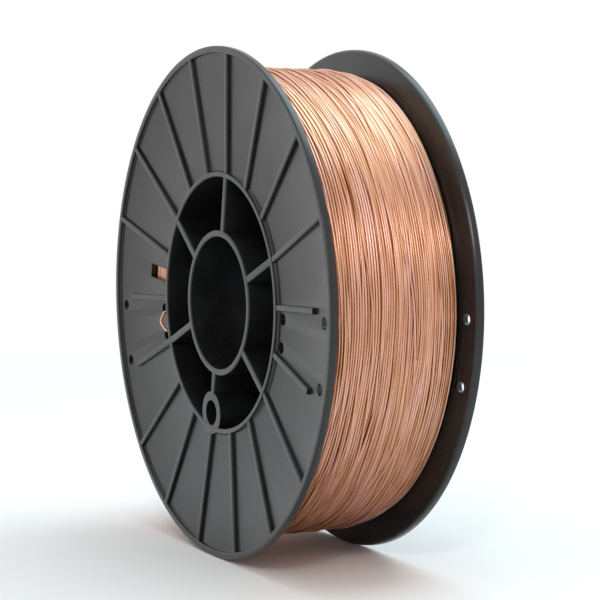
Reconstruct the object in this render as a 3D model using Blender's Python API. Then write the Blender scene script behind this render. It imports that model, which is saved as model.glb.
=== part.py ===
"""Welding wire spool of the 200 mm class, wound with 5 kg of copper-coated wire.

The spool stands on its two rims with its axis along Y. The flange that carries the
start of the wire is at -Y, the origin is the middle of the bore, and sizes are metres.
"""
import math

import bmesh
import bpy
from mathutils import Vector

# Spool, driving sizes
FLANGE_RADIUS = 0.100
SPOOL_WIDTH = 0.063
PLATE = 0.0020
RIM_WALL = 0.0027
RIM_DEPTH = 0.0014
DISH = 0.0028
RIM_EDGE = 0.0004
LEAD_IN_ROUND = 0.0016
BARREL_RADIUS = 0.0530
BARREL_WALL = 0.0036
RING_TOP = 0.0020
RING_FILLET = 0.0011

# Hub, driving sizes
BORE_RADIUS = 0.0260
BORE_WALL = 0.0026
BORE_CHAMFER = 0.0006
WEB_COUNT = 6
WEB_WIDTH = 0.0030
DRIVE_WEB = 4
DRIVE_HOLE_RADIUS = 0.0050
DRIVE_HOLE_PITCH_RADIUS = 0.0445
DRIVE_BOSS_WALL = 0.0034

# Ribs, driving sizes
RIB_COUNT = 18
RIB_WIDTH = 0.0024
RIB_DRAFT = 0.0002
SHORT_RIB_GAP = 0.0130
FIRST_RIB_ANGLE = math.radians(1.8)
FLUSH_STEP = 0.0001

# Holes, driving sizes
SMALL_HOLE_RADIUS = 0.0022
RIM_HOLE_INSET = 0.0082
RIM_HOLE_SPREAD = math.radians(7.5)
REAR_HOLE_TURN = math.radians(-1.9)
BARREL_HOLE_OFFSET = 0.0026
BARREL_HOLE_SPREAD = math.radians(6.0)
WINDOW_LENGTH = 0.0150
WINDOW_WIDTH = 0.0060
WINDOW_OFFSET = 0.0010

# Wire, driving sizes
WIRE_RADIUS = 0.0005
WINDING_FILL = 0.84
COIL_SHOULDER = 0.0020
COIL_SHOULDER_POWER = 6
LOOP_REACH = 0.0045
LOOP_HEIGHT = 0.0008
GAP = 0.0003

# Resolution
TURNED_SIDES = 96
HUB_SIDES = 72
DRIVE_SIDES = 32
HOLE_SIDES = 16
WIRE_SIDES = 8
ROUND_STEPS = 3
COIL_STEPS = 14
LOOP_GUIDES = 4
LOOP_STEPS = 5
SMOOTH_ANGLE = math.radians(30)

# Places that follow from the driving sizes
HALF_WIDTH = SPOOL_WIDTH / 2
RIM_INNER = FLANGE_RADIUS - RIM_WALL
BARREL_INNER = BARREL_RADIUS - BARREL_WALL
RING_OUTER = BARREL_INNER + RING_TOP
HUB_END = HALF_WIDTH - DISH
BORE_OUTER = BORE_RADIUS + BORE_WALL
SHORT_RIB_END = RIM_INNER - SHORT_RIB_GAP
RIM_HOLE_PITCH_RADIUS = FLANGE_RADIUS - RIM_HOLE_INSET
BARREL_HOLE_PITCH_RADIUS = BARREL_RADIUS + BARREL_HOLE_OFFSET
COIL_RADIUS = BARREL_RADIUS + WINDING_FILL * (FLANGE_RADIUS - BARREL_RADIUS)
LOOP_LEAN = (SMALL_HOLE_RADIUS - WIRE_RADIUS - 2 * GAP) / BARREL_HOLE_PITCH_RADIUS
RIB_STEP = math.tau / RIB_COUNT
WEB_STEP = math.tau / WEB_COUNT
OVERRUN = SPOOL_WIDTH / 10

# Middle angles of the two rib bays that carry the small holes, right and left,
# and of the bay above the left one, which carries the window
RIGHT_BAY = FIRST_RIB_ANGLE - RIB_STEP / 2
LEFT_BAY = FIRST_RIB_ANGLE + math.pi + RIB_STEP / 2
WINDOW_BAY = LEFT_BAY - RIB_STEP


def clear_scene():
    for obj in list(bpy.data.objects):
        bpy.data.objects.remove(obj, do_unlink=True)


def make_material(name, colour, roughness, metallic):
    """Principled material, with its colour in linear RGB."""
    material = bpy.data.materials.new(name)
    material.use_nodes = True
    shader = material.node_tree.nodes["Principled BSDF"]
    shader.inputs["Base Color"].default_value = (*colour, 1.0)
    shader.inputs["Roughness"].default_value = roughness
    shader.inputs["Metallic"].default_value = metallic
    return material


def polar(radius, angle, height):
    return Vector((radius * math.cos(angle), radius * math.sin(angle), height))


def plate_face(radius):
    """Height of the outer face of the dished flange plate at a radius."""
    slope = DISH / (RIM_INNER - BARREL_RADIUS)
    return HALF_WIDTH - RIM_DEPTH - slope * (RIM_INNER - radius)


def winding_face(radius):
    """Height of the flange's inner face, which the wire lies against."""
    return plate_face(radius) - PLATE


def arc(centre_r, centre_h, radius, start, end):
    """Points of a round, as (radius, height) pairs, with angles in degrees."""
    points = []
    for step in range(ROUND_STEPS + 1):
        angle = math.radians(start + (end - start) * step / ROUND_STEPS)
        points.append((centre_r + radius * math.cos(angle), centre_h + radius * math.sin(angle)))
    return points


def new_object(name, bm, parent, material=None):
    bmesh.ops.recalc_face_normals(bm, faces=bm.faces)
    mesh = bpy.data.meshes.new(name)
    bm.to_mesh(mesh)
    bm.free()
    if material:
        mesh.materials.append(material)
    obj = bpy.data.objects.new(name, mesh)
    bpy.context.scene.collection.objects.link(obj)
    obj.parent = parent
    return obj


def turn(bm, profile, sides, centre=(0.0, 0.0)):
    """Turn a closed outline of (radius, height) points round the spool's axis."""
    rings = []
    for side in range(sides):
        angle = math.tau * side / sides
        ring = []
        for radius, height in profile:
            point = polar(radius, angle, height) + Vector((*centre, 0.0))
            ring.append(bm.verts.new(point))
        rings.append(ring)
    count = len(profile)
    for side in range(sides):
        here, after = rings[side], rings[(side + 1) % sides]
        for k in range(count):
            n = (k + 1) % count
            bm.faces.new((here[k], after[k], after[n], here[n]))


def add_cylinder(bm, radius, centre, low, high, sides):
    """Closed cylinder along the axis, for a hole."""
    ends = []
    for height in (low, high):
        ring = []
        for side in range(sides):
            point = polar(radius, math.tau * side / sides, height) + Vector((*centre, 0.0))
            ring.append(bm.verts.new(point))
        ends.append(ring)
    bm.faces.new(ends[0])
    bm.faces.new(ends[1])
    for side in range(sides):
        n = (side + 1) % sides
        bm.faces.new((ends[0][side], ends[0][n], ends[1][n], ends[1][side]))


def add_radial_bar(bm, outline, angle, width, top_width):
    """Bar along a radius. The outline's first two points are its outer, drafted edge."""
    direction = polar(1.0, angle, 0.0)
    across = polar(1.0, angle + math.pi / 2, 0.0)
    walls = []
    for side in (-1, 1):
        wall = []
        for k, (radius, height) in enumerate(outline):
            half = (top_width if k < 2 else width) / 2
            point = direction * radius + across * (side * half) + Vector((0.0, 0.0, height))
            wall.append(bm.verts.new(point))
        walls.append(wall)
    count = len(outline)
    bm.faces.new(walls[0])
    bm.faces.new(walls[1])
    for k in range(count):
        n = (k + 1) % count
        bm.faces.new((walls[0][k], walls[0][n], walls[1][n], walls[1][k]))


def boolean(obj, operation, tool):
    modifier = obj.modifiers.new(tool.name, "BOOLEAN")
    modifier.operation = operation
    modifier.solver = "EXACT"
    modifier.object = tool
    tool.hide_render = True
    tool.display_type = "WIRE"


def smooth(obj):
    obj.data.shade_smooth()
    obj.data.set_sharp_from_angle(angle=SMOOTH_ANGLE)


# Spool body: barrel, dished flanges and raised rims as one turned outline

def flange_outline():
    """Front half of the outline, from the hub ring's inner edge out and back to the barrel."""
    fillet_foot = RING_OUTER + RING_FILLET
    points = [(BARREL_INNER, HUB_END), (RING_OUTER, HUB_END)]
    points += arc(fillet_foot, plate_face(fillet_foot) + RING_FILLET, RING_FILLET, 180, 270)
    points += [(RIM_INNER, plate_face(RIM_INNER)), (RIM_INNER, HALF_WIDTH)]
    points += [(FLANGE_RADIUS - RIM_EDGE, HALF_WIDTH), (FLANGE_RADIUS, HALF_WIDTH - RIM_EDGE)]
    round_centre = FLANGE_RADIUS - LEAD_IN_ROUND
    points += arc(round_centre, winding_face(RIM_INNER) + LEAD_IN_ROUND, LEAD_IN_ROUND, 0, -90)
    points.append((BARREL_RADIUS, winding_face(BARREL_RADIUS)))
    return points


def make_spool_body(parent, material):
    front = flange_outline()
    rear = [(radius, -height) for radius, height in reversed(front)]
    bm = bmesh.new()
    turn(bm, front + rear, TURNED_SIDES)
    return new_object("spool", bm, parent, material)


# Ribs on both flanges, from the hub ring to the rim

def rib_outline(end_radius, side):
    start = RING_OUTER - RING_TOP / 2
    foot = PLATE / 2
    rise = RIM_DEPTH - FLUSH_STEP
    top = [(end_radius, plate_face(end_radius) + rise), (start, plate_face(start) + rise)]
    base = [(start, plate_face(start) - foot), (end_radius, plate_face(end_radius) - foot)]
    return [(radius, side * height) for radius, height in top + base]


def make_ribs(parent):
    bm = bmesh.new()
    for side in (1, -1):
        for rib in range(RIB_COUNT):
            end = SHORT_RIB_END if rib in short_ribs() else RIM_INNER + RIM_WALL / 2
            angle = FIRST_RIB_ANGLE + rib * RIB_STEP
            add_radial_bar(bm, rib_outline(end, side), angle, RIB_WIDTH, RIB_WIDTH - RIB_DRAFT)
    return new_object("ribs_tool", bm, parent)


def short_ribs():
    """The ribs on both sides of the two bays with small holes stop short of the rim."""
    ribs = []
    for bay in (RIGHT_BAY, LEFT_BAY):
        for side in (-0.5, 0.5):
            ribs.append(round((bay - FIRST_RIB_ANGLE) / RIB_STEP + side) % RIB_COUNT)
    return ribs


# Hub: bore tube, webs and the boss of the driving hole

def make_bore_tube(parent):
    mouth = BORE_RADIUS + BORE_CHAMFER
    half = [(mouth, HUB_END), (BORE_OUTER, HUB_END)]
    outline = [(BORE_RADIUS, HUB_END - BORE_CHAMFER)] + half
    outline += [(radius, -height) for radius, height in reversed(outline)]
    bm = bmesh.new()
    turn(bm, outline, HUB_SIDES)
    return new_object("bore_tube_tool", bm, parent)


def web_angle(web):
    """Webs stand in line with every third rib, starting beside the first."""
    return FIRST_RIB_ANGLE + RIB_STEP + web * WEB_STEP


def make_webs(parent):
    inner = BORE_OUTER - BORE_WALL / 2
    outer = BARREL_INNER + RING_TOP / 2
    end = HUB_END - FLUSH_STEP
    bm = bmesh.new()
    for web in range(WEB_COUNT):
        outline = [(outer, end), (inner, end), (inner, -end), (outer, -end)]
        add_radial_bar(bm, outline, web_angle(web), WEB_WIDTH, WEB_WIDTH)
    return new_object("webs_tool", bm, parent)


def drive_hole_centre():
    centre = polar(DRIVE_HOLE_PITCH_RADIUS, web_angle(DRIVE_WEB), 0.0)
    return centre.x, centre.y


def make_drive_boss(parent):
    """Boss of the driving hole, a step below the webs, and held short of the winding."""
    end = HUB_END - 2 * FLUSH_STEP
    room = BARREL_RADIUS - DRIVE_HOLE_PITCH_RADIUS - FLUSH_STEP
    radius = min(DRIVE_HOLE_RADIUS + DRIVE_BOSS_WALL, room)
    bm = bmesh.new()
    add_cylinder(bm, radius, drive_hole_centre(), -end, end, DRIVE_SIDES)
    return new_object("drive_boss_tool", bm, parent)


# Holes

def small_hole_centres(rim_turn):
    """Two holes by the rim and two by the barrel, in each of the two bays."""
    rim_row = (RIM_HOLE_PITCH_RADIUS, RIM_HOLE_SPREAD, rim_turn)
    barrel_row = (BARREL_HOLE_PITCH_RADIUS, BARREL_HOLE_SPREAD, 0.0)
    centres = []
    for bay in (RIGHT_BAY, LEFT_BAY):
        for radius, spread, turned_by in (rim_row, barrel_row):
            for side in (-1, 1):
                centre = polar(radius, bay + turned_by + side * spread, 0.0)
                centres.append((centre.x, centre.y))
    return centres


def make_hole_cutter(parent):
    end = HALF_WIDTH + OVERRUN
    bm = bmesh.new()
    for low, high, rim_turn in ((0.0, end, 0.0), (-end, 0.0, REAR_HOLE_TURN)):
        for centre in small_hole_centres(rim_turn):
            add_cylinder(bm, SMALL_HOLE_RADIUS, centre, low, high, HOLE_SIDES)
    add_cylinder(bm, DRIVE_HOLE_RADIUS, drive_hole_centre(), -end, end, DRIVE_SIDES)
    return new_object("holes_cutter", bm, parent)


def make_window_cutter(parent):
    inner = BARREL_RADIUS + WINDOW_OFFSET
    outer = inner + WINDOW_LENGTH
    high, low = HALF_WIDTH, HALF_WIDTH - RIM_DEPTH - DISH - PLATE - OVERRUN
    bm = bmesh.new()
    outline = [(outer, high), (inner, high), (inner, low), (outer, low)]
    add_radial_bar(bm, outline, WINDOW_BAY, WINDOW_WIDTH, WINDOW_WIDTH)
    return new_object("window_cutter", bm, parent)


def make_spool(parent, material):
    spool = make_spool_body(parent, material)
    for tool in (make_ribs(parent), make_bore_tube(parent), make_webs(parent), make_drive_boss(parent)):
        boolean(spool, "UNION", tool)
    for tool in (make_hole_cutter(parent), make_window_cutter(parent)):
        boolean(spool, "DIFFERENCE", tool)
    smooth(spool)
    return spool


# Wire: one turned solid with its bore, and the start that is laced through two holes

def coil_outline():
    inner = BARREL_RADIUS + GAP
    edge = COIL_RADIUS - COIL_SHOULDER
    end = winding_face(edge) - GAP
    points = [(inner, -winding_face(inner) + GAP)]
    for step in range(COIL_STEPS + 1):
        share = math.sin(math.pi / 2 * (2 * step / COIL_STEPS - 1))
        radius = COIL_RADIUS - COIL_SHOULDER * abs(share) ** COIL_SHOULDER_POWER
        points.append((radius, end * share))
    points.append((inner, winding_face(inner) - GAP))
    return points


def loop_route():
    """Middle line of the wire's start: out of one hole, round, and in at the other."""
    first = LEFT_BAY - BARREL_HOLE_SPREAD + LOOP_LEAN
    last = LEFT_BAY + BARREL_HOLE_SPREAD - LOOP_LEAN
    radius = BARREL_HOLE_PITCH_RADIUS
    root = winding_face(radius) - GAP - 2 * WIRE_RADIUS
    face = plate_face(radius)
    guides = [polar(radius, first, root), polar(radius, first, face)]
    for step in range(1, LOOP_GUIDES):
        share = step / LOOP_GUIDES
        reach = LOOP_REACH * math.sin(math.pi * share)
        height = face + LOOP_HEIGHT + WIRE_RADIUS
        guides.append(polar(radius + reach, first + share * (last - first), height))
    guides += [polar(radius, last, face), polar(radius, last, root)]
    return smooth_route(guides)


def smooth_route(guides):
    """Catmull-Rom curve through the guide points."""
    padded = [2 * guides[0] - guides[1]] + guides + [2 * guides[-1] - guides[-2]]
    route = []
    for k in range(1, len(padded) - 2):
        p0, p1, p2, p3 = padded[k - 1:k + 3]
        for step in range(LOOP_STEPS):
            t = step / LOOP_STEPS
            a = 2 * p1 + (p2 - p0) * t
            b = (2 * p0 - 5 * p1 + 4 * p2 - p3) * t ** 2
            c = (3 * p1 - p0 - 3 * p2 + p3) * t ** 3
            route.append((a + b + c) / 2)
    route.append(guides[-1])
    return route


def make_wire_start(parent):
    """Round wire swept along the route, with flat ends."""
    route = loop_route()
    bm = bmesh.new()
    rings = []
    side = Vector((0.0, 1.0, 0.0))
    for k, point in enumerate(route):
        ahead = route[min(k + 1, len(route) - 1)] - route[max(k - 1, 0)]
        ahead.normalize()
        side = (side - ahead * side.dot(ahead)).normalized()
        up = ahead.cross(side)
        ring = []
        for n in range(WIRE_SIDES):
            angle = math.tau * n / WIRE_SIDES
            offset = side * math.cos(angle) + up * math.sin(angle)
            ring.append(bm.verts.new(point + offset * WIRE_RADIUS))
        rings.append(ring)
    for here, after in zip(rings, rings[1:]):
        for n in range(WIRE_SIDES):
            m = (n + 1) % WIRE_SIDES
            bm.faces.new((here[n], here[m], after[m], after[n]))
    bm.faces.new(rings[0])
    bm.faces.new(rings[-1])
    return new_object("wire_start_tool", bm, parent)


def make_wire_coil(parent, material):
    bm = bmesh.new()
    turn(bm, coil_outline(), TURNED_SIDES)
    coil = new_object("wire_coil", bm, parent, material)
    boolean(coil, "UNION", make_wire_start(parent))
    smooth(coil)
    return coil


def main():
    clear_scene()
    axis = bpy.data.objects.new("spool_axis", None)
    bpy.context.scene.collection.objects.link(axis)
    axis.rotation_euler = (math.pi / 2, 0.0, 0.0)
    plastic = make_material("grey_plastic", (0.035, 0.036, 0.038), 0.40, 0.0)
    copper = make_material("copper_coated_steel", (0.80, 0.47, 0.33), 0.30, 1.0)
    make_spool(axis, plastic)
    make_wire_coil(axis, copper)


main()
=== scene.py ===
"""Welding wire spool: a moulded, ribbed spool wound full with copper-coated wire.

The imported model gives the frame: node spool is the moulding and node wire_coil the wire.
Shapes are made with the spool's axis along Z and the photographed flange at +Z, and are
laid over at the end, so that the axis runs along Y and that flange is at -Y.
"""
import math

import bmesh
import bpy
from mathutils import Matrix, Vector


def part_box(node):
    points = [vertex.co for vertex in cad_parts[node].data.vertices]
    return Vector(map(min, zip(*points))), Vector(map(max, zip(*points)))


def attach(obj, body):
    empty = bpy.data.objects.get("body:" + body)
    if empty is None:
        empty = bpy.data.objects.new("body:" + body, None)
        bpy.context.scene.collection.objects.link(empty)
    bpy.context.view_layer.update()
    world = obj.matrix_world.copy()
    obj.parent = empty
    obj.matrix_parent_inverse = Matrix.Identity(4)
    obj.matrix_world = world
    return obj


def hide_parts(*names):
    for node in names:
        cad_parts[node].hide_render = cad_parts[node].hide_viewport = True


bl_info = {
    "name": "Wound Wire Spool",
    "version": (1, 0, 0),
    "blender": (4, 5, 0),
    "location": "3D View > Sidebar > Wire Spool",
    "description": "Builds a moulded spool with its winding of copper-coated wire, and a stage",
    "category": "Object",
}

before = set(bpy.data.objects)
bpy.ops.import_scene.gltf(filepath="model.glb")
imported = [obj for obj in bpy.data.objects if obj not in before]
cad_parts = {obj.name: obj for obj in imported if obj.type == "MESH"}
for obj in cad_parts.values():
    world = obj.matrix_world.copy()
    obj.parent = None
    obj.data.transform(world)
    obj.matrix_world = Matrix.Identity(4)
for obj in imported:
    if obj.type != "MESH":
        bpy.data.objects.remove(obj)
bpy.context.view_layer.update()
SPOOL_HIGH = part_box("spool")[1]
COIL_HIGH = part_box("wire_coil")[1]

LAY_OVER = Matrix.Rotation(math.pi / 2, 4, "X")
SIDEBAR = "Wire Spool"
WHITE = (1.0, 1.0, 1.0)

# Resolution
TURNED_SIDES = 240
HUB_SIDES = 144
CORE_SIDES = 120
CORE_STEPS = 16
HOLE_SIDES = 32
FLOOR_SIDES = 96
ROUND_STEPS = 4
SMOOTH_ANGLE = math.radians(20)
TOP_WIRE_STEPS, TOP_WIRE_SIDES = 180, 8
LOW_WIRE_STEPS, LOW_WIRE_SIDES = 96, 6
LOOP_STEPS, LOOP_ROUND_STEPS = 10, 4


def length(name, description, default):
    return bpy.props.FloatProperty(
        name=name, description=description, default=default, min=0.0, precision=5, unit="LENGTH"
    )


def angle(name, description, degrees):
    return bpy.props.FloatProperty(
        name=name, description=description, default=math.radians(degrees), subtype="ANGLE"
    )


def number(name, description, default):
    return bpy.props.FloatProperty(name=name, description=description, default=default, precision=4)


def count(name, description, default):
    return bpy.props.IntProperty(name=name, description=description, default=default, min=0)


def colour(name, description, default):
    return bpy.props.FloatVectorProperty(
        name=name, description=description, default=default, size=3, subtype="COLOR", min=0.0, max=1.0
    )


class SpoolSizes(bpy.types.PropertyGroup):
    flange_radius: length("Flange radius", "Axis to the outer edge of a rim", SPOOL_HIGH.x)
    half_width: length("Half width", "Middle of the spool to the face of a rim", SPOOL_HIGH.y)
    plate: length("Plate", "Thickness of a flange between its ribs", 0.0020)
    rim_wall: length("Rim wall", "Width of the raised rim, along a radius", 0.0027)
    rim_depth: length("Rim depth", "Face of the rim down to the plate beside it", 0.0014)
    dish: length("Dish", "How far the plate falls from the rim to the barrel", 0.0028)
    barrel_radius: length("Barrel radius", "Axis to the face that the wire is wound on", 0.0530)
    barrel_wall: length("Barrel wall", "Thickness of the barrel", 0.0036)
    ring_top: length("Ring top", "Width of the flat end of the hub ring", 0.0020)
    bore_radius: length("Bore radius", "Radius of the bore", 0.0260)
    bore_wall: length("Bore wall", "Thickness of the bore tube", 0.0026)
    web_width: length("Web width", "Thickness of a web of the hub", 0.0030)
    rib_width: length("Rib width", "Width of a rib of a flange", 0.0024)
    short_rib_gap: length("Short rib gap", "Rim to the end of a short rib", 0.0130)
    edge_round: length("Edge round", "Round of the moulded edges", 0.0006)
    mouth_round: length("Mouth round", "Round of the mouth of the bore", 0.0006)
    lead_in_round: length("Lead-in round", "Round of a rim on the wire's side", 0.0016)
    ring_fillet: length("Ring fillet", "Fillet between the hub ring and the plate", 0.0011)
    rib_count: count("Ribs", "Ribs on each flange", 18)
    web_count: count("Webs", "Webs between the bore tube and the barrel", 6)
    first_rib: angle("First rib", "Angle of the first rib, from +X towards +Z", 1.8)


class HoleSizes(bpy.types.PropertyGroup):
    drive_web: count("Driving web", "Web that carries the driving hole, counted from the first", 4)
    drive_radius: length("Driving hole", "Radius of the driving hole", 0.0050)
    drive_pitch: length("Driving pitch", "Axis to the middle of the driving hole", 0.0445)
    drive_wall: length("Boss wall", "Wall of the driving hole's boss", 0.0034)
    small_radius: length("Small holes", "Radius of the holes by the rim and by the barrel", 0.0022)
    rim_inset: length("Rim hole inset", "Edge of the flange to the middle of a rim hole", 0.0082)
    rim_spread: angle("Rim hole spread", "Middle of the bay to a rim hole", 7.5)
    rear_turn: angle("Rear turn", "Turn of the rear rim holes from those in front", -0.65)
    rear_inset: length("Rear inset", "Edge of the flange to the middle of a rear rim hole", 0.0065)
    rear_spread: angle("Rear spread", "Middle of the bay to a rear rim hole", 7.8)
    barrel_offset: length("Barrel hole offset", "Barrel to the middle of a barrel hole", 0.0023)
    barrel_spread: angle("Barrel hole spread", "Middle of the bay to a barrel hole", 5.6)
    window_length: length("Window length", "Length of the window along its radius", 0.0138)
    window_width: length("Window width", "Width of the window", 0.0056)
    window_offset: length("Window offset", "Barrel to the near edge of the window", 0.0010)


class WireSizes(bpy.types.PropertyGroup):
    thickness: length("Wire", "Diameter of the wire", 0.0010)
    coil_radius: length("Coil radius", "Axis to the outside of the winding", COIL_HIGH.x - 0.0007)
    coil_half_width: length("Coil half width", "Middle of the winding to its side", COIL_HIGH.y)
    shoulder: length("Shoulder", "How far the winding falls off beside a flange", 0.0034)
    outer_turns: count("Outer turns", "Turns of the outermost full layer", 55)
    inner_turns: count("Inner turns", "Turns of the layer below it", 51)
    riders: count("Riders", "Loose turns that ride up over the outermost layer", 17)
    end_turns: count("End turns", "Turns that show on each side of the coil, from the barrel", 13)
    wander: length("Wander", "How far neighbouring turns drift along the axis together", 0.0030)
    jitter: length("Jitter", "How far a turn strays from its neighbours at most", 0.0016)
    stray: length("Stray", "How far a rider drifts along the axis", 0.0060)
    heave: length("Heave", "How far a rider dips in and out of the layer below", 0.0011)
    seed: number("Seed", "Picks another lay of the wire", 3.0)
    loop_reach: length("Loop reach", "How far the start of the wire stands off its two holes", 0.0015)
    loop_height: length("Loop height", "Rise of that loop off the plate, in its middle", 0.0012)


class SpoolFinish(bpy.types.PropertyGroup):
    plastic: colour("Plastic", "Moulded plastic", (0.0060, 0.0062, 0.0066))
    plastic_light: colour("Plastic, light", "Flow marks in the plastic", (0.0100, 0.0104, 0.0110))
    # Painted highlight: a lighter colour for the flat tops, standing in for the light they catch from
    # above
    plastic_painted_highlight: colour("Plastic, rubbed", "Tops of the ribs, rims and hub", (0.036, 0.037, 0.038))
    copper: colour("Copper", "Bright copper coat", (0.71, 0.395, 0.262))
    copper_dull: colour("Copper, dull", "Copper coat where it is thin or handled", (0.55, 0.26, 0.14))
    copper_rosy: colour("Copper, rosy", "Copper coat where it is freshly drawn", (0.755, 0.45, 0.355))
    floor: colour("Floor", "Pale floor", (0.945, 0.905, 0.887))


class StageSettings(bpy.types.PropertyGroup):
    azimuth: angle("Azimuth", "Direction of view, from +Y towards -X", 62.83)
    elevation: angle("Elevation", "Height of the camera, seen from its aim", 4.17)
    distance: length("Distance", "Camera to its aim", 0.7706)
    lens: number("Lens", "Focal length in millimetres on a 36 mm sensor", 115.9)
    aim: bpy.props.FloatVectorProperty(
        name="Aim", description="Point that the camera looks at", default=(0.0032, 0.0062, 0.0002),
        size=3, subtype="XYZ_LENGTH", precision=5,
    )
    ambient: number("Ambient", "Light of the room on matt surfaces", 0.70)
    top_light: number("Top light", "Power of the broad lamp above, in watts", 9.9)
    top_colour: colour("Top colour", "Colour of the broad lamp, a cool daylight", (0.67, 0.91, 1.0))
    small_light: number("Small light", "Power of the small lamp at the right, in watts", 1.5)


# Node sums

class Term:
    """One output of a node, which can stand in a sum with other outputs and numbers."""

    def __init__(self, graph, socket):
        self.graph = graph
        self.socket = socket

    def out(self, name):
        """Another output of the same node."""
        return Term(self.graph, pick(self.socket.node.outputs, name))

    def __add__(self, other):
        return self.graph.math("ADD", self, other)

    def __radd__(self, other):
        return self.graph.math("ADD", other, self)

    def __sub__(self, other):
        return self.graph.math("SUBTRACT", self, other)

    def __rsub__(self, other):
        return self.graph.math("SUBTRACT", other, self)

    def __mul__(self, other):
        return self.graph.math("MULTIPLY", self, other)

    def __rmul__(self, other):
        return self.graph.math("MULTIPLY", other, self)

    def __truediv__(self, other):
        return self.graph.math("DIVIDE", self, other)

    def __rtruediv__(self, other):
        return self.graph.math("DIVIDE", other, self)

    def __pow__(self, other):
        return self.graph.math("POWER", self, other)

    def __gt__(self, other):
        return self.graph.math("GREATER_THAN", self, other)


class Graph:
    """A node tree that is written as sums of its nodes' outputs."""

    def __init__(self, tree):
        self.tree = tree
        tree.nodes.clear()

    def node(self, kind, settings=None, values=None):
        """Adds a node, sets it up, fills its sockets, and gives its first output."""
        made = self.tree.nodes.new(kind)
        for name, value in (settings or {}).items():
            setattr(made, name, value)
        for name, value in (values or {}).items():
            self.fill(pick(made.inputs, name), value)
        outputs = [socket for socket in made.outputs if socket.enabled]
        return Term(self, outputs[0]) if outputs else made

    def fill(self, socket, value):
        """Links a socket to a term, or sets it."""
        if isinstance(value, Term):
            self.tree.links.new(value.socket, socket)
        else:
            socket.default_value = value

    def math(self, operation, *terms):
        return self.node("ShaderNodeMath", {"operation": operation}, dict(enumerate(terms)))

    def vector(self, x, y, z):
        return self.node("ShaderNodeCombineXYZ", None, {"X": x, "Y": y, "Z": z})

    def mix(self, factor, a, b):
        """Blend of two colours."""
        values = {"Factor": factor, "A": as_rgba(a), "B": as_rgba(b)}
        return self.node("ShaderNodeMix", {"data_type": "RGBA"}, values)

    def noise(self, vector, scale, detail=2.0, roughness=0.5):
        values = {"Vector": vector, "Scale": scale, "Detail": detail, "Roughness": roughness}
        return self.node("ShaderNodeTexNoise", None, values)

    def ramp(self, value, low, high, to_low=0.0, to_high=1.0):
        """Smooth step of a value from one range to another, held at both ends."""
        settings = {"interpolation_type": "SMOOTHSTEP"}
        return self.node("ShaderNodeMapRange", settings, {
            "Value": value, "From Min": low, "From Max": high, "To Min": to_low, "To Max": to_high,
        })


def pick(sockets, name):
    """Socket by its place, or the one of that name that the node's settings leave in use."""
    if isinstance(name, int):
        return sockets[name]
    return next(socket for socket in sockets if socket.name == name and socket.enabled)


def as_rgba(value):
    """A term as it is, or a colour as a socket takes it."""
    return value if isinstance(value, Term) else (*value, 1.0)


# Meshes

def polar(radius, turn, height=0.0):
    return Vector((radius * math.cos(turn), radius * math.sin(turn), height))


def new_object(name, mesh):
    obj = bpy.data.objects.new(name, mesh)
    bpy.context.scene.collection.objects.link(obj)
    return obj


def mesh_from(name, bm):
    bmesh.ops.recalc_face_normals(bm, faces=bm.faces)
    mesh = bpy.data.meshes.new(name)
    bm.to_mesh(mesh)
    bm.free()
    return mesh


def evaluated_mesh(obj):
    depsgraph = bpy.context.evaluated_depsgraph_get()
    return bpy.data.meshes.new_from_object(obj.evaluated_get(depsgraph), depsgraph=depsgraph)


def bake(obj):
    """Puts the evaluated mesh on the object in place of its modifiers."""
    mesh = evaluated_mesh(obj)
    obj.modifiers.clear()
    obj.data = mesh
    return obj


def rounded(corners):
    """Outline with a round at each corner, from ((radius, height), round) pairs."""
    points = []
    total = len(corners)
    for k, (corner, size) in enumerate(corners):
        here = Vector(corner)
        if not size:
            points.append(here)
            continue
        back = (Vector(corners[k - 1][0]) - here).normalized()
        on = (Vector(corners[(k + 1) % total][0]) - here).normalized()
        half = back.angle(on) / 2
        centre = here + (back + on).normalized() * size / math.sin(half)
        first = here + back * size / math.tan(half) - centre
        last = here + on * size / math.tan(half) - centre
        for step in range(ROUND_STEPS + 1):
            points.append(centre + first.slerp(last, step / ROUND_STEPS) * size)
    return points


def both_ends(corners):
    """A front half outline and its mirror image, as one closed outline."""
    rear = [((radius, -height), size) for (radius, height), size in reversed(corners)]
    return corners + rear


def turned(name, outline, sides):
    """Solid of an outline of (radius, height) points turned round the axis."""
    bm = bmesh.new()
    rings = []
    for side in range(sides):
        turn = math.tau * side / sides
        rings.append([bm.verts.new(polar(radius, turn, height)) for radius, height in outline])
    total = len(outline)
    for side, here in enumerate(rings):
        after = rings[(side + 1) % sides]
        for k in range(total):
            n = (k + 1) % total
            bm.faces.new((here[k], after[k], after[n], here[n]))
    return mesh_from(name, bm)


def pin(bm, radius, centre, low, high, sides):
    """Closed cylinder along the axis, for a hole or a boss."""
    place = Matrix.Translation((centre.x, centre.y, (low + high) / 2))
    bmesh.ops.create_cone(
        bm, cap_ends=True, segments=sides, radius1=radius, radius2=radius,
        depth=high - low, matrix=place,
    )


def boolean(obj, operation, tool):
    modifier = obj.modifiers.new(tool.name, "BOOLEAN")
    modifier.operation = operation
    modifier.solver = "EXACT"
    modifier.object = tool


# Node trees that make shapes

# Share of a step within which a bar counts as beside a bay
BESIDE = 0.75
# Square of the distance, in wires, from which neighbouring turns lift each other
NEARLY_TOUCHING = 0.86
# Where a layer starts and ends, and how its ends sink below it: over a share of a turn, in wires
ENDS_AT = math.radians(205)
TUCKED_TURN, TUCK = 0.06, 2.0
# Power of the fall beside a flange, and of the calm that the turns keep there
SHOULDER_POWER, CALM_POWER = 6.0, 4.0
# Half width of the blend from a lifted turn to the next one, which stays low
SWAP = 0.35
# Random numbers: change from turn to turn, waves round a turn, and shift of the seed
OWN_DRIFT = (0.83, 1.9, 40.0)
HEAVE_DRIFT = (0.61, 1.4, 80.0)
SHARED_WAVES = 1.1
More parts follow.
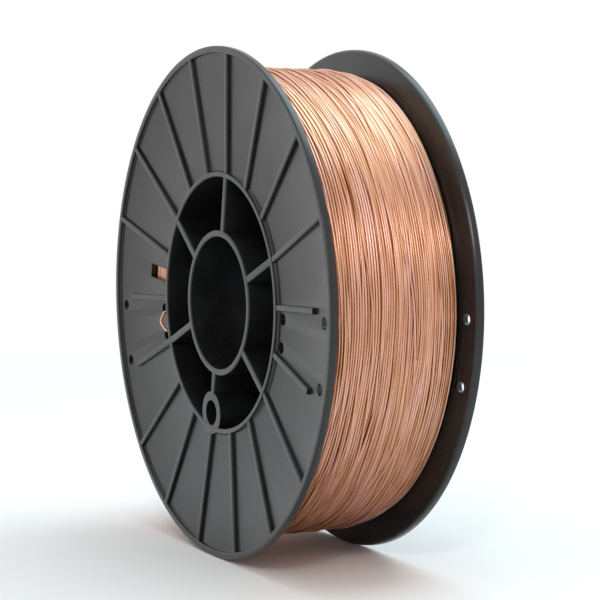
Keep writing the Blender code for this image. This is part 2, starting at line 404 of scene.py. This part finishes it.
# Gain that brings the cube of a random number back to about the jitter
STRAY_GAIN = 2.0


def new_tree(name, inputs):
    """Geometry node tree with named inputs, and the terms that read them."""
    tree = bpy.data.node_groups.new(name, "GeometryNodeTree")
    graph = Graph(tree)
    for label, kind in inputs.items():
        tree.interface.new_socket(label, in_out="INPUT", socket_type="NodeSocket" + kind)
    tree.interface.new_socket("Geometry", in_out="OUTPUT", socket_type="NodeSocketGeometry")
    start = tree.nodes.new("NodeGroupInput")
    terms = {label: Term(graph, start.outputs[label]) for label in inputs}
    return graph, terms


def close_tree(graph, geometry, material):
    """Ends a tree in plain, smooth, painted geometry."""
    solid = graph.node("GeometryNodeRealizeInstances", None, {"Geometry": geometry})
    smooth = graph.node("GeometryNodeSetShadeSmooth", None, {"Geometry": solid})
    painted = graph.node("GeometryNodeSetMaterial", None, {"Geometry": smooth, "Material": material})
    end = graph.tree.nodes.new("NodeGroupOutput")
    graph.fill(end.inputs["Geometry"], painted)


def grow(name, tree, values):
    """Object with the plain mesh that a tree makes from its named inputs."""
    obj = new_object(name, bpy.data.meshes.new(name))
    modifier = obj.modifiers.new(name, "NODES")
    modifier.node_group = tree
    for item in tree.interface.items_tree:
        if item.item_type == "SOCKET" and item.in_out == "INPUT":
            modifier[item.identifier] = values[item.name]
    return bake(obj)


def bars_tree():
    """Bars along a radius, spread round the axis, with those beside two bays cut short."""
    graph, given = new_tree("radial_bars", {
        "Count": "Int", "First angle": "Float", "Width": "Float", "Depth": "Float",
        "Edge round": "Float", "Inner radius": "Float", "Outer radius": "Float",
        "Inner height": "Float", "Outer height": "Float", "Short radius": "Float",
        "Bay A": "Float", "Bay B": "Float", "Material": "Material",
    })
    inner, outer = given["Inner radius"], given["Outer radius"]
    share = (given["Short radius"] - inner) / (outer - inner)
    short_height = given["Inner height"] + share * (given["Outer height"] - given["Inner height"])
    section = graph.node(
        "GeometryNodeCurvePrimitiveQuadrilateral", {"mode": "RECTANGLE"},
        {"Width": given["Width"], "Height": given["Depth"]},
    )
    section = graph.node(
        "GeometryNodeFilletCurve", {"mode": "POLY"},
        {"Curve": section, "Count": ROUND_STEPS - 1, "Radius": given["Edge round"]},
    )
    step = math.tau / given["Count"]
    turn = given["First angle"] + graph.node("GeometryNodeInputIndex") * step
    to_bays = [graph.math("COSINE", turn - given[bay]) for bay in ("Bay A", "Bay B")]
    short = graph.math("MAXIMUM", *to_bays) > graph.math("COSINE", step * BESIDE)
    points = graph.node("GeometryNodePoints", None, {"Count": given["Count"]})
    facing = graph.node("FunctionNodeEulerToRotation", None, {"Euler": graph.vector(0.0, 0.0, turn)})
    join = graph.tree.nodes.new("GeometryNodeJoinGeometry")
    ends = ((outer, given["Outer height"], 1.0 - short), (given["Short radius"], short_height, short))
    for end, height, chosen in ends:
        line = graph.node("GeometryNodeCurvePrimitiveLine", None, {
            "Start": graph.vector(inner, 0.0, given["Inner height"]),
            "End": graph.vector(end, 0.0, height),
        })
        bar = tube(graph, line, section)
        bars = graph.node("GeometryNodeInstanceOnPoints", None, {
            "Points": points, "Selection": chosen, "Instance": bar, "Rotation": facing,
        })
        graph.tree.links.new(bars.socket, join.inputs["Geometry"])
    close_tree(graph, Term(graph, join.outputs[0]), given["Material"])
    return graph.tree


def tube(graph, line, section):
    """Closed solid of a section that follows a line."""
    values = {"Curve": line, "Profile Curve": section, "Fill Caps": True}
    return graph.node("GeometryNodeCurveToMesh", None, values)


def turn_terms(graph, given):
    """Turns wound so far at each point of a wire, and the cosine and sine of its angle."""
    turns = graph.node("GeometryNodeInputIndex") / given["Steps per turn"]
    around = turns * math.tau + ENDS_AT
    return turns, graph.math("COSINE", around), graph.math("SINE", around)


def lay_wire(graph, given, turns, place):
    """Ends a tree in one round wire, whose points lie at a place and know their turn."""
    line = graph.node("GeometryNodeCurvePrimitiveLine")
    total = given["Turns"] * given["Steps per turn"] + 1.0
    line = graph.node("GeometryNodeResampleCurve", None, {"Curve": line, "Count": total})
    laid = graph.node("GeometryNodeSetPosition", None, {"Geometry": line, "Position": place})
    marked = graph.node(
        "GeometryNodeStoreNamedAttribute", {"data_type": "FLOAT", "domain": "POINT"},
        {"Geometry": laid, "Name": "turn", "Value": turns},
    )
    section = graph.node(
        "GeometryNodeCurvePrimitiveCircle", {"mode": "RADIUS"},
        {"Resolution": given["Sides"], "Radius": given["Wire"] * 0.5},
    )
    close_tree(graph, tube(graph, marked, section), given["Material"])


def winding_tree():
    """One layer of a random-wound coil: a single wire whose turns drift, part and ride up."""
    graph, given = new_tree("wound_layer", {
        "Wire": "Float", "Turns": "Int", "Steps per turn": "Int", "Sides": "Int", "Radius": "Float",
        "Shoulder": "Float", "Half width": "Float", "Wander": "Float", "Wander spread": "Float",
        "Jitter": "Float", "Most lift": "Float", "Heave": "Float", "Hand": "Float", "Seed": "Float",
        "Material": "Material",
    })
    wire, reach = given["Wire"], given["Half width"]
    turns, across, up = turn_terms(graph, given)
    pitch = (reach * 2.0 - wire) / given["Turns"]

    def drift(turn, spread, waves, shift):
        """Smooth random number about 0, the same at each end of a turn."""
        place = graph.vector(turn * spread + (given["Seed"] + shift), across * waves, up * waves)
        return graph.noise(place, 1.0, 1.0) * 2.0 - 1.0

    def lay(turn):
        """Place of a turn along the axis. Few turns stray far from their neighbours."""
        plain = (turn - given["Turns"] * 0.5) * pitch
        room = 1.0 - graph.math("ABSOLUTE", plain / reach) ** CALM_POWER
        own = drift(turn, *OWN_DRIFT)
        shared = drift(turn, given["Wander spread"], SHARED_WAVES, 0.0) * given["Wander"]
        return plain + (shared + own * own * own * given["Jitter"] * STRAY_GAIN) * room

    here = lay(turns)
    gap_on = graph.math("ABSOLUTE", lay(turns + 1.0) - here)
    gap_back = graph.math("ABSOLUTE", here - lay(turns - 1.0))
    gap = graph.math("MINIMUM", gap_on, gap_back)
    squeeze = graph.math("MAXIMUM", wire * wire * NEARLY_TOUCHING - gap * gap, 0.0)
    lift = graph.math("MINIMUM", graph.math("SQRT", squeeze), given["Most lift"])
    every_other = graph.ramp(graph.math("COSINE", turns * math.pi), -SWAP, SWAP)
    fall = given["Shoulder"] * graph.math("ABSOLUTE", here / reach) ** SHOULDER_POWER
    heave = drift(turns, *HEAVE_DRIFT) * given["Heave"]
    from_end = graph.math("MINIMUM", turns, given["Turns"] - turns)
    tuck = wire * graph.ramp(from_end, 0.0, TUCKED_TURN, TUCK, 0.0)
    radius = given["Radius"] - fall - tuck + lift * every_other + heave
    lay_wire(graph, given, turns, graph.vector(radius * across, radius * up, here * given["Hand"]))
    return graph.tree


def end_turns_tree():
    """Turns that lie against a flange, as one flat spiral that follows the dish."""
    graph, given = new_tree("end_spiral", {
        "Wire": "Float", "Turns": "Int", "Steps per turn": "Int", "Sides": "Int", "Radius": "Float",
        "Height": "Float", "Slope": "Float", "Jitter": "Float", "Seed": "Float",
        "Material": "Material",
    })
    turns, across, up = turn_terms(graph, given)
    spread, waves, _shift = OWN_DRIFT
    place = graph.vector(turns * spread + given["Seed"], across * waves, up * waves)
    stray = (graph.noise(place, 1.0, 1.0) - 0.5) * given["Jitter"]
    out = turns * given["Wire"]
    radius = given["Radius"] + out + stray
    height = given["Height"] + given["Slope"] * out
    lay_wire(graph, given, turns, graph.vector(radius * across, radius * up, height))
    return graph.tree


# Materials

# Scales of the plastic's flow marks, its mottling and its moulded grain
FLOW_SCALE, MOTTLE_SCALE, GRAIN_SCALE = 38.0, 420.0, 2600.0
GRAIN_STRENGTH, GRAIN_HEIGHT = 0.10, 0.0002
PLASTIC_IOR = 1.5
# Change of the copper's tone and tint along the wire, and from turn to turn
LENGTHWISE = 30.0
TONE_SPREAD, TINT_SPREAD, TINT_SHIFT = 0.9, 0.31, 40.0
DRAWN_SCALE = 900.0


def new_material(name):
    """Material with an empty graph and its output node."""
    material = bpy.data.materials.new(name)
    material.use_nodes = True
    graph = Graph(material.node_tree)
    end = material.node_tree.nodes.new("ShaderNodeOutputMaterial")
    return material, graph, end


def moulded_plastic(finish):
    """Satin dark grey plastic with flow marks, a fine moulded grain and a painted highlight on the
    flat tops of the ribs, rims and hub.
    """
    material, graph, end = new_material("moulded_plastic")
    place = graph.node("ShaderNodeTexCoord").out("Object")
    flow = graph.noise(place, FLOW_SCALE, 3.0)
    mottle = graph.noise(place, MOTTLE_SCALE, 2.0)
    grain = graph.noise(place, GRAIN_SCALE, 1.0)
    shade = graph.ramp(flow * 0.7 + mottle * 0.3, 0.38, 0.64)
    base = graph.mix(shade, tuple(finish.plastic), tuple(finish.plastic_light))
    raised = graph.node("ShaderNodeAttribute", {"attribute_name": "raised"}).out("Fac")
    # Painted highlight: the flat tops of the ribs, rims and hub are made lighter, as if lit by the
    # lamp above
    painted_highlight = raised * graph.ramp(mottle, 0.25, 0.60, 0.6, 1.0)
    base = graph.mix(painted_highlight, base, tuple(finish.plastic_painted_highlight))
    bump = graph.node("ShaderNodeBump", None, {
        "Strength": GRAIN_STRENGTH, "Distance": GRAIN_HEIGHT, "Height": grain * 0.6 + mottle * 0.4,
    })
    shader = graph.node("ShaderNodeBsdfPrincipled", None, {
        "Base Color": base, "Roughness": graph.ramp(flow, 0.35, 0.65, 0.24, 0.32),
        "IOR": PLASTIC_IOR, "Normal": bump,
    })
    graph.fill(end.inputs["Surface"], shader)
    return material


def copper_wire(finish):
    """Drawn wire with a bright copper coat that is duller or rosier from turn to turn."""
    material, graph, end = new_material("copper_wire")
    place = graph.node("ShaderNodeTexCoord").out("Object")
    turn = graph.node("ShaderNodeAttribute", {"attribute_name": "turn"}).out("Fac")
    split = graph.node("ShaderNodeSeparateXYZ", None, {"Vector": place})
    along = [split.out(axis) * LENGTHWISE for axis in ("X", "Z")]
    tone = graph.noise(graph.vector(turn * TONE_SPREAD, *along), 1.0, 2.0)
    tint = graph.noise(graph.vector(turn * TINT_SPREAD + TINT_SHIFT, *along), 1.0, 2.0)
    base = graph.mix(graph.ramp(tone, 0.40, 0.62), tuple(finish.copper), tuple(finish.copper_dull))
    base = graph.mix(graph.ramp(tint, 0.46, 0.68), base, tuple(finish.copper_rosy))
    drawn = graph.noise(place, DRAWN_SCALE, 1.0) + tone * 0.3
    shader = graph.node("ShaderNodeBsdfPrincipled", None, {
        "Base Color": base, "Metallic": 1.0, "Roughness": graph.ramp(drawn, 0.3, 1.0, 0.28, 0.40),
    })
    graph.fill(end.inputs["Surface"], shader)
    return material


def paint(obj, material):
    obj.data.materials.clear()
    obj.data.materials.append(material)


def hand_over(obj):
    """Lays a finished piece over onto the frame's axes and lets it ride on the part."""
    obj.data.transform(LAY_OVER)
    obj.data.update()
    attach(obj, "root")


# Places that follow from the sizes

def rim_inner(sizes):
    """Radius at which the plate meets the rim."""
    return sizes.flange_radius - sizes.rim_wall


def ring_outer(sizes):
    """Outer radius of the hub ring, which stands on the end of the barrel."""
    return sizes.barrel_radius - sizes.barrel_wall + sizes.ring_top


def dish_slope(sizes):
    return sizes.dish / (rim_inner(sizes) - sizes.barrel_radius)


def plate_face(sizes, radius):
    """Height of the outer face of the dished plate at a radius."""
    fall = dish_slope(sizes) * (rim_inner(sizes) - radius)
    return sizes.half_width - sizes.rim_depth - fall


def winding_face(sizes, radius):
    """Height of the plate's other face, which holds the wire."""
    return plate_face(sizes, radius) - sizes.plate


def bay_angles(sizes):
    """Middle angles of the right bay, the left bay and the bay with the window."""
    step = math.tau / sizes.rib_count
    right = sizes.first_rib - step / 2
    left = sizes.first_rib + math.pi + step / 2
    return right, left, left - step


def web_angle(sizes, web):
    """Angle of a web. The first one lies a rib's step past the first rib."""
    return sizes.first_rib + math.tau / sizes.rib_count + web * math.tau / sizes.web_count


def drive_centre(sizes, holes):
    return polar(holes.drive_pitch, web_angle(sizes, holes.drive_web))


# The moulding

# Step between faces that would otherwise lie in one plane
FLUSH_STEP = 0.0001
# How far a cutter reaches past a face
OVERRUN = 0.006
# Least upward share of a face's normal for a flat top
UPRIGHT = 0.9


def flange_corners(sizes):
    """Front half of the outline of the flanges and the barrel, from the hub ring outwards."""
    ring, rim = ring_outer(sizes), rim_inner(sizes)
    ring_end = sizes.half_width - sizes.dish
    edge = sizes.edge_round
    return [
        ((ring - sizes.ring_top, ring_end), edge),
        ((ring, ring_end), edge / 2),
        ((ring, plate_face(sizes, ring)), sizes.ring_fillet),
        ((rim, plate_face(sizes, rim)), edge),
        ((rim, sizes.half_width), edge),
        ((sizes.flange_radius, sizes.half_width), edge),
        ((sizes.flange_radius, winding_face(sizes, rim)), sizes.lead_in_round),
        ((sizes.barrel_radius, winding_face(sizes, sizes.barrel_radius)), 0.0),
    ]


def bore_corners(sizes):
    """Front half of the outline of the bore tube."""
    end = sizes.half_width - sizes.dish
    return [
        ((sizes.bore_radius, end), sizes.mouth_round),
        ((sizes.bore_radius + sizes.bore_wall, end), sizes.edge_round),
    ]


def rib_values(sizes, side, material):
    """Inputs of the ribs of one flange, which end flush with the rim but for a small step."""
    right, left = bay_angles(sizes)[:2]
    inner = ring_outer(sizes) - sizes.ring_top / 2
    outer = sizes.flange_radius - sizes.rim_wall / 2
    rise = sizes.rim_depth - FLUSH_STEP
    depth = rise + sizes.plate / 2
    sink = rise - depth / 2
    return {
        "Count": sizes.rib_count, "First angle": sizes.first_rib, "Width": sizes.rib_width,
        "Depth": depth, "Edge round": sizes.edge_round, "Inner radius": inner, "Outer radius": outer,
        "Inner height": side * (plate_face(sizes, inner) + sink),
        "Outer height": side * (plate_face(sizes, outer) + sink),
        "Short radius": rim_inner(sizes) - sizes.short_rib_gap,
        "Bay A": right, "Bay B": left, "Material": material,
    }


def web_values(sizes, material):
    """Inputs of the webs, none of which is cut short."""
    end = sizes.half_width - sizes.dish - FLUSH_STEP
    inner = sizes.bore_radius + sizes.bore_wall / 2
    outer = ring_outer(sizes) - sizes.ring_top / 2
    return {
        "Count": sizes.web_count, "First angle": web_angle(sizes, 0), "Width": sizes.web_width,
        "Depth": 2 * end, "Edge round": sizes.edge_round, "Inner radius": inner, "Outer radius": outer,
        "Inner height": 0.0, "Outer height": 0.0, "Short radius": outer, "Bay A": 0.0, "Bay B": 0.0,
        "Material": material,
    }


def small_hole_centres(sizes, holes, rim_row):
    """Two holes by the rim and two by the barrel, in each of two bays."""
    rows = (rim_row, (sizes.barrel_radius + holes.barrel_offset, holes.barrel_spread, 0.0))
    centres = []
    for bay in bay_angles(sizes)[:2]:
        for radius, spread, turned_by in rows:
            centres += [polar(radius, bay + turned_by + side * spread) for side in (-1, 1)]
    return centres


def hole_cutter(sizes, holes):
    """Pins for the driving hole and for all small holes, which differ in front and behind."""
    bm = bmesh.new()
    reach = sizes.half_width + OVERRUN
    front_row = (sizes.flange_radius - holes.rim_inset, holes.rim_spread, 0.0)
    rear_row = (sizes.flange_radius - holes.rear_inset, holes.rear_spread, holes.rear_turn)
    for low, high, rim_row in ((0.0, reach, front_row), (-reach, 0.0, rear_row)):
        for centre in small_hole_centres(sizes, holes, rim_row):
            pin(bm, holes.small_radius, centre, low, high, HOLE_SIDES)
    pin(bm, holes.drive_radius, drive_centre(sizes, holes), -reach, reach, 2 * HOLE_SIDES)
    return new_object("hole_cutter", mesh_from("hole_cutter", bm))


def window_cutter(sizes, holes):
    """Box that cuts the window through the front flange alone."""
    middle = sizes.barrel_radius + holes.window_offset + holes.window_length / 2
    turn = bay_angles(sizes)[2]
    size = Matrix.Diagonal((holes.window_length, holes.window_width, 4 * OVERRUN, 1.0))
    place = Matrix.Translation(polar(middle, turn, sizes.half_width)) @ Matrix.Rotation(turn, 4, "Z")
    bm = bmesh.new()
    bmesh.ops.create_cube(bm, size=1.0, matrix=place @ size)
    return new_object("window_cutter", mesh_from("window_cutter", bm))


def mark_raised(mesh, sizes):
    """Marks the flat tops of the rims, ribs and hub, which get a painted highlight in the material."""
    marks = mesh.attributes.new("raised", "FLOAT", "FACE")
    for face, mark in zip(mesh.polygons, marks.data):
        radius = max(math.hypot(face.center.x, face.center.y), sizes.barrel_radius)
        above = abs(face.center.z) - plate_face(sizes, radius)
        mark.value = float(above > sizes.rim_depth / 2 and abs(face.normal.z) > UPRIGHT)


def drive_boss(sizes, holes):
    """Boss of the driving hole, kept just clear of the barrel's outer face."""
    bm = bmesh.new()
    end = sizes.half_width - sizes.dish - 2 * FLUSH_STEP
    room = sizes.barrel_radius - holes.drive_pitch - FLUSH_STEP
    radius = min(holes.drive_radius + holes.drive_wall, room)
    pin(bm, radius, drive_centre(sizes, holes), -end, end, 2 * HOLE_SIDES)
    return new_object("drive_boss", mesh_from("drive_boss", bm))


class SPOOL_OT_moulding(bpy.types.Operator):
    """Builds the moulded spool with its flanges, ribs, hub and holes"""

    bl_idname = "spool.moulding"
    bl_label = "Moulded Spool"

    def execute(self, context):
        scene = context.scene
        sizes, holes = scene.spool_sizes, scene.spool_holes
        plastic = moulded_plastic(scene.spool_finish)
        outline = rounded(both_ends(flange_corners(sizes)))
        body = new_object("spool_moulding", turned("body", outline, TURNED_SIDES))
        paint(body, plastic)
        bars = bars_tree()
        bore = rounded(both_ends(bore_corners(sizes)))
        tools = [
            grow("front_ribs", bars, rib_values(sizes, 1, plastic)),
            grow("rear_ribs", bars, rib_values(sizes, -1, plastic)),
            new_object("bore_tube", turned("bore_tube", bore, HUB_SIDES)),
            grow("webs", bars, web_values(sizes, plastic)),
            drive_boss(sizes, holes),
        ]
        for tool in tools:
            boolean(body, "UNION", tool)
        cutters = [hole_cutter(sizes, holes), window_cutter(sizes, holes)]
        for cutter in cutters:
            boolean(body, "DIFFERENCE", cutter)
        bake(body)
        for tool in tools + cutters:
            bpy.data.objects.remove(tool)
        paint(body, plastic)
        mark_raised(body.data, sizes)
        body.data.shade_smooth()
        body.data.set_sharp_from_angle(angle=SMOOTH_ANGLE)
        hand_over(body)
        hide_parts("spool")
        return {"FINISHED"}


# The wire

CLEARANCE = 0.0003
# In wires: the outside of the coil to the middle of the outermost layer, from there to the next
# layer, the most that crowded turns lift, and how far the loose turns ride above that layer
TOP_DEPTH, LAYER_STEP, LIFT_SHARE, RIDE_SHARE = 0.8, 0.75, 0.35, 0.45
# Share of a loose turn's heave that the turns of a full layer have
LAYER_HEAVE = 0.15
# Change of the wander from turn to turn, in a full layer and among the loose turns
LAYER_SPREAD, RIDER_SPREAD = 0.05, 0.45
# Shifts of the seed from piece to piece
INNER_SHIFT, RIDER_SHIFT, END_SHIFT = 90.0, 55.0, 7.0
# How many times less the turns at the sides stray
END_CALM = 3
# Parts of the loop between its two holes, and the power of its bulge
LOOP_GUIDES, LOOP_POWER = 4, 1.5
# How far towards the axis the wire is pulled in those holes, as a share of its play
LOOP_PULL = 0.3


def layer_values(wire, material, turns, depth=0.0, hand=1.0, shift=0.0):
    """Inputs of one wound layer, a number of wire thicknesses below the outermost one."""
    return {
        "Wire": wire.thickness, "Turns": turns,
        "Steps per turn": LOW_WIRE_STEPS if depth else TOP_WIRE_STEPS,
        "Sides": LOW_WIRE_SIDES if depth else TOP_WIRE_SIDES,
        "Radius": wire.coil_radius - wire.thickness * (TOP_DEPTH + depth),
        "Shoulder": wire.shoulder, "Half width": wire.coil_half_width,
        "Wander": wire.wander, "Wander spread": LAYER_SPREAD, "Jitter": wire.jitter,
        "Most lift": wire.thickness * LIFT_SHARE, "Heave": wire.heave * LAYER_HEAVE, "Hand": hand,
        "Seed": wire.seed + shift, "Material": material,
    }


def rider_values(wire, material):
    """Inputs of the few loose turns that cross over the outermost full layer."""
    values = layer_values(wire, material, wire.riders, shift=RIDER_SHIFT)
    values["Radius"] += wire.thickness * RIDE_SHARE
    values["Wander"], values["Wander spread"] = wire.stray, RIDER_SPREAD
    values["Most lift"], values["Heave"] = 0.0, wire.heave
    return values


def core_outline(sizes, wire):
    """Outline of the winding below the turns that are made one by one."""
    deep = wire.thickness * (TOP_DEPTH + LAYER_STEP)
    inner = sizes.barrel_radius + CLEARANCE
    side = wire.thickness
    points = [(inner, -winding_face(sizes, inner) + side)]
    for step in range(CORE_STEPS + 1):
        share = math.sin(math.pi / 2 * (2 * step / CORE_STEPS - 1))
        radius = wire.coil_radius - deep - wire.shoulder * abs(share) ** SHOULDER_POWER
        points.append((radius, (wire.coil_half_width - side) * share))
    points.append((inner, winding_face(sizes, inner) - side))
    return points


def end_values(sizes, wire, side, material):
    """Inputs of the turns that show on one side of the coil."""
    radius = sizes.barrel_radius + CLEARANCE + wire.thickness / 2
    height = winding_face(sizes, radius) - CLEARANCE - wire.thickness / 2
    return {
        "Wire": wire.thickness, "Turns": wire.end_turns, "Steps per turn": LOW_WIRE_STEPS,
        "Sides": LOW_WIRE_SIDES, "Radius": radius, "Height": side * height,
        "Slope": side * dish_slope(sizes), "Jitter": wire.jitter / END_CALM,
        "Seed": wire.seed + END_SHIFT * side, "Material": material,
    }


class SPOOL_OT_winding(bpy.types.Operator):
    """Winds the wire: its outermost layers, the turns at its sides and what lies below"""

    bl_idname = "spool.winding"
    bl_label = "Winding"

    def execute(self, context):
        scene = context.scene
        sizes, wire = scene.spool_sizes, scene.spool_wire
        copper = copper_wire(scene.spool_finish)
        layer, spiral = winding_tree(), end_turns_tree()
        outer = layer_values(wire, copper, wire.outer_turns)
        inner = layer_values(
            wire, copper, wire.inner_turns, depth=LAYER_STEP, hand=-1.0, shift=INNER_SHIFT
        )
        pieces = [
            grow("outer_turns", layer, outer),
            grow("inner_turns", layer, inner),
            grow("riding_turns", layer, rider_values(wire, copper)),
            grow("front_end_turns", spiral, end_values(sizes, wire, 1, copper)),
            grow("rear_end_turns", spiral, end_values(sizes, wire, -1, copper)),
            new_object("coil_core", turned("coil_core", core_outline(sizes, wire), CORE_SIDES)),
        ]
        paint(pieces[-1], copper)
        for piece in pieces:
            hand_over(piece)
        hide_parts("wire_coil")
        return {"FINISHED"}


def loop_guides(sizes, holes, wire):
    """Middle line of the wire's start: out of one hole, round, and in at the other."""
    left = bay_angles(sizes)[1]
    play = holes.small_radius - wire.thickness / 2 - CLEARANCE
    radius = sizes.barrel_radius + holes.barrel_offset - play * LOOP_PULL
    lean = play * math.sqrt(1.0 - LOOP_PULL ** 2) / radius
    first, spread = left - holes.barrel_spread + lean, 2 * (holes.barrel_spread - lean)
    root = winding_face(sizes, radius) - wire.thickness
    face = plate_face(sizes, radius)
    guides = [polar(radius, first, root), polar(radius, first, face)]
    for step in range(1, LOOP_GUIDES):
        share = step / LOOP_GUIDES
        bulge = math.sin(math.pi * share) ** LOOP_POWER
        height = face + wire.thickness / 2 + wire.loop_height * bulge
        guides.append(polar(radius + wire.loop_reach * bulge, first + share * spread, height))
    guides += [polar(radius, first + spread, face), polar(radius, first + spread, root)]
    return guides


class SPOOL_OT_wire_start(bpy.types.Operator):
    """Laces the start of the wire out through one hole by the hub and in through the next"""

    bl_idname = "spool.wire_start"
    bl_label = "Start of the Wire"

    def execute(self, context):
        scene = context.scene
        wire = scene.spool_wire
        guides = loop_guides(scene.spool_sizes, scene.spool_holes, wire)
        curve = bpy.data.curves.new("wire_start", "CURVE")
        curve.dimensions = "3D"
        curve.bevel_depth = wire.thickness / 2
        curve.bevel_resolution = LOOP_ROUND_STEPS
        curve.resolution_u = LOOP_STEPS
        curve.use_fill_caps = True
        spline = curve.splines.new("BEZIER")
        spline.bezier_points.add(len(guides) - 1)
        for point, guide in zip(spline.bezier_points, guides):
            point.co = guide
            point.handle_left_type = point.handle_right_type = "AUTO"
        loop = curve_to_piece("wire_start", curve)
        paint(loop, bpy.data.materials["copper_wire"])
        loop.data.shade_smooth()
        hand_over(loop)
        return {"FINISHED"}


def curve_to_piece(name, curve):
    """Mesh object of a bevelled curve."""
    guide = new_object(name + "_guide", curve)
    mesh = evaluated_mesh(guide)
    bpy.data.objects.remove(guide)
    return new_object(name, mesh)


# The stage

FLOOR_RADIUS = 2.5
# Where the floor starts and ends its run into the white of the background
FADE_START, FADE_END = 0.34, 0.95
TOP_PLACE, TOP_TARGET, TOP_SIZE = (-0.08, 0.45, 1.0), (-0.08, 0.45, 0.0), (0.84, 1.3)
SMALL_PLACE, SMALL_TARGET, SMALL_SIZE = (0.75, -0.45, 0.49), (0.0, 0.0, 0.0), (0.12, 0.12)


def floor_material(finish):
    """Pale matt floor that runs out into the white of the background."""
    material, graph, end = new_material("pale_floor")
    place = graph.node("ShaderNodeTexCoord").out("Object")
    away = graph.node("ShaderNodeVectorMath", {"operation": "LENGTH"}, {0: place}).out("Value")
    fade = graph.ramp(away, FADE_START, FADE_END)
    matt = graph.node("ShaderNodeBsdfDiffuse", None, {"Color": as_rgba(tuple(finish.floor))})
    white = graph.node("ShaderNodeEmission", None, {"Color": as_rgba(WHITE), "Strength": 1.0})
    shader = graph.node("ShaderNodeMixShader", None, {0: fade * seen(graph), 1: matt, 2: white})
    graph.fill(end.inputs["Surface"], shader)
    return material


def seen(graph):
    """1 for what the camera, a reflection or a glass sees, 0 for light on matt surfaces."""
    path = graph.node("ShaderNodeLightPath")
    rays = [path.out(name) for name in ("Is Camera Ray", "Is Glossy Ray", "Is Transmission Ray")]
    return graph.math("MAXIMUM", graph.math("MAXIMUM", rays[0], rays[1]), rays[2])


def make_world(scene, ambient):
    """White room, which gives matt surfaces only a share of its light."""
    world = bpy.data.worlds.new("white_room")
    world.use_nodes = True
    graph = Graph(world.node_tree)
    end = world.node_tree.nodes.new("ShaderNodeOutputWorld")
    strength = ambient + seen(graph) * (1.0 - ambient)
    white = graph.node("ShaderNodeBackground", None, {"Color": as_rgba(WHITE), "Strength": strength})
    graph.fill(end.inputs["Surface"], white)
    scene.world = world


def add_lamp(name, place, target, size, power, shade):
    """Soft lamp, of a size along X and Y, that faces a point."""
    lamp = bpy.data.lights.new(name, "AREA")
    lamp.shape = "RECTANGLE"
    lamp.size, lamp.size_y = size
    lamp.energy = power
    lamp.color = shade
    obj = new_object(name, lamp)
    obj.location = place
    obj.rotation_euler = (Vector(target) - Vector(place)).to_track_quat("-Z", "Y").to_euler()


class SPOOL_OT_stage(bpy.types.Operator):
    """Adds the floor, the lamps, the white room and the camera"""

    bl_idname = "spool.stage"
    bl_label = "Stage"

    def execute(self, context):
        scene = context.scene
        stage, sizes = scene.spool_stage, scene.spool_sizes
        bm = bmesh.new()
        place = Matrix.Translation((0.0, 0.0, -sizes.flange_radius))
        bmesh.ops.create_circle(
            bm, cap_ends=True, segments=FLOOR_SIDES, radius=FLOOR_RADIUS, matrix=place
        )
        floor = new_object("floor", mesh_from("floor", bm))
        paint(floor, floor_material(scene.spool_finish))
        make_world(scene, stage.ambient)
        add_lamp("top_lamp", TOP_PLACE, TOP_TARGET, TOP_SIZE, stage.top_light, stage.top_colour)
        add_lamp("small_lamp", SMALL_PLACE, SMALL_TARGET, SMALL_SIZE, stage.small_light, WHITE)
        self.add_camera(scene, stage)
        scene.view_settings.view_transform = "Standard"
        return {"FINISHED"}

    def add_camera(self, scene, stage):
        """Camera at a distance from its aim, in the direction that the settings give."""
        data = bpy.data.cameras.new("camera")
        data.lens = stage.lens
        camera = new_object("camera", data)
        level = math.cos(stage.elevation)
        forward = Vector((
            -math.sin(stage.azimuth) * level, math.cos(stage.azimuth) * level,
            -math.sin(stage.elevation),
        ))
        camera.location = Vector(stage.aim) - forward * stage.distance
        camera.rotation_euler = forward.to_track_quat("-Z", "Y").to_euler()
        scene.camera = camera


class SPOOL_PT_build(bpy.types.Panel):
    """Lists what builds the spool, with its sizes and finishes"""

    bl_idname = "SPOOL_PT_build"
    bl_label = "Wire Spool"
    bl_space_type = "VIEW_3D"
    bl_region_type = "UI"
    bl_category = SIDEBAR

    def draw(self, context):
        for operator in BUILD_ORDER:
            self.layout.operator(operator.bl_idname)
        for name in SETTINGS:
            group = getattr(context.scene, name)
            box = self.layout.box()
            for key in group.bl_rna.properties.keys():
                if key not in ("rna_type", "name"):
                    box.prop(group, key)


BUILD_ORDER = (SPOOL_OT_stage, SPOOL_OT_moulding, SPOOL_OT_winding, SPOOL_OT_wire_start)
SETTINGS = {
    "spool_sizes": SpoolSizes, "spool_holes": HoleSizes, "spool_wire": WireSizes,
    "spool_finish": SpoolFinish, "spool_stage": StageSettings,
}


def register():
    for group in (*SETTINGS.values(), *BUILD_ORDER, SPOOL_PT_build):
        bpy.utils.register_class(group)
    for name, group in SETTINGS.items():
        setattr(bpy.types.Scene, name, bpy.props.PointerProperty(type=group))


def unregister():
    for name in SETTINGS:
        delattr(bpy.types.Scene, name)
    for group in reversed((*SETTINGS.values(), *BUILD_ORDER, SPOOL_PT_build)):
        bpy.utils.unregister_class(group)


def main():
    register()
    bpy.ops.spool.stage()
    bpy.ops.spool.moulding()
    bpy.ops.spool.winding()
    bpy.ops.spool.wire_start()


if __name__ == "__main__":
    main()
